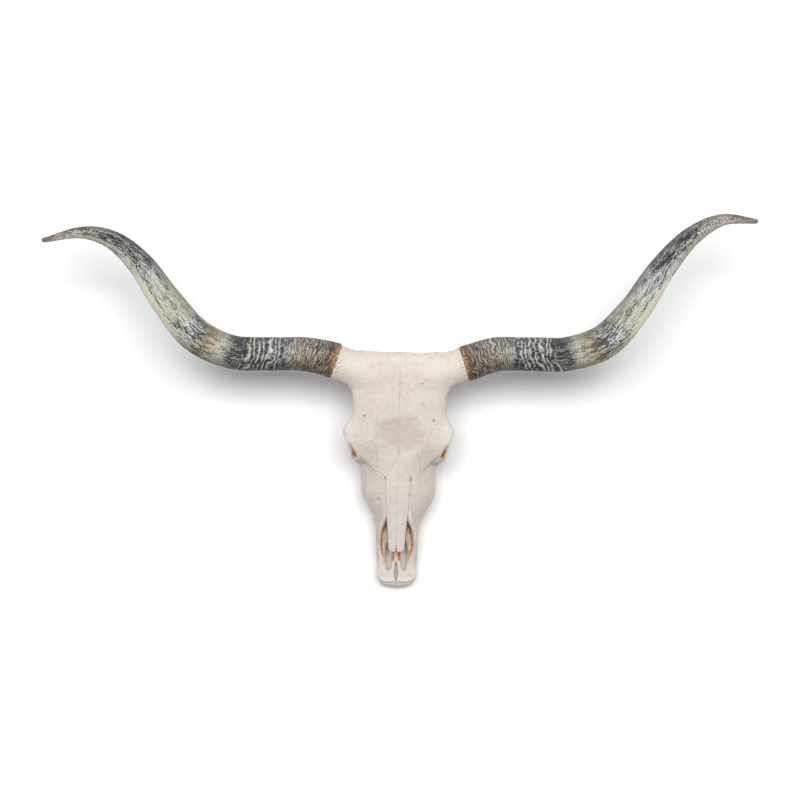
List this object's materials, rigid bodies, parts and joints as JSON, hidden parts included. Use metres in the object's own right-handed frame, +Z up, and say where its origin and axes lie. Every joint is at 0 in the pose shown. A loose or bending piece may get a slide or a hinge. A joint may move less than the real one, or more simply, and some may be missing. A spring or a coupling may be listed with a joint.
{
  "type": "longhorn steer skull",
  "caption": "Dry longhorn steer skull without its lower jaw, with long horns that sweep out to the sides and turn up and out to the tips; rests on its teeth.",
  "frame": {"origin": "bottom centre of the bounding box, on the ground the skull rests on", "axes": "+X across the horns towards the animal's left, +Y towards the back of the head, +Z up; the nose points to -Y"},
  "size_m": [1.4702, 0.7954, 0.2748],
  "materials": {
    "bone": "dry sun-bleached bone, matt, with fine pores and sutures",
    "horn_keratin": "worn horn sheath, satin, ringed near the base and smooth towards the tip"
  },
  "bodies": {
    "root": {"frontal_left": "bone", "frontal_right": "bone", "nasal_left": "bone", "nasal_right": "bone", "premaxilla_left": "bone", "premaxilla_right": "bone", "maxilla_left": "bone", "maxilla_right": "bone", "lacrimal_left": "bone", "lacrimal_right": "bone", "zygomatic_left": "bone", "zygomatic_right": "bone", "temporal_left": "bone", "temporal_right": "bone", "occipital": "bone", "sphenoid": "bone", "palatine": "bone", "horn_left": "horn_keratin", "horn_right": "horn_keratin"}
  },
  "joints": []
}
